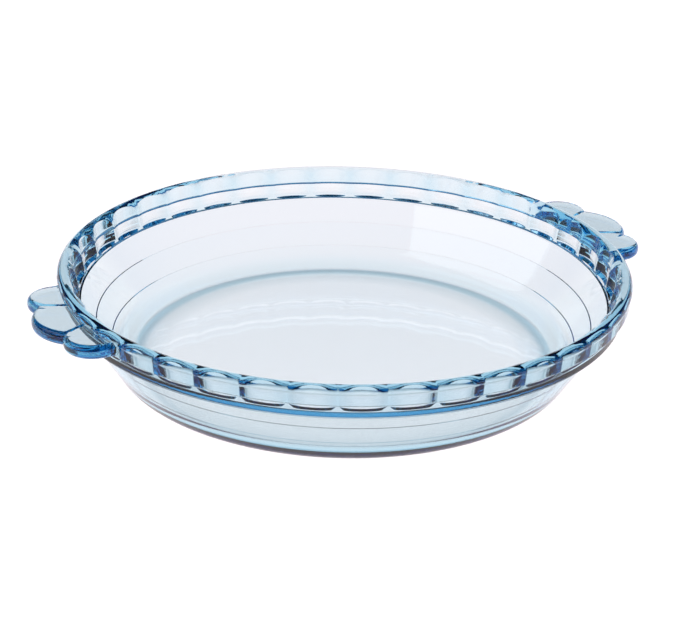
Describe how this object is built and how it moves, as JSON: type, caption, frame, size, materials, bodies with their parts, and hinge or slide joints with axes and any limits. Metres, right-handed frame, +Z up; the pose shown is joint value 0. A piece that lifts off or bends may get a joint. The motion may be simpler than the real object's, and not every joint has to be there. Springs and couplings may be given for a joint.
{
  "type": "glass pie dish",
  "caption": "Round clear glass pie dish with a slanted wall, a fluted upright collar, a smooth rounded rim and two lobed handles.",
  "frame": {"origin": "on the axis of the bowl, in the plane that the base rests on", "axes": "+Z up along the axis of the bowl, +X through the middle of one handle, Y across"},
  "size_m": [0.2966, 0.26, 0.0474],
  "materials": {
    "glass": "clear pressed glass, faintly blue along thick edges"
  },
  "bodies": {
    "root": {"pie_dish": "glass"}
  },
  "joints": []
}
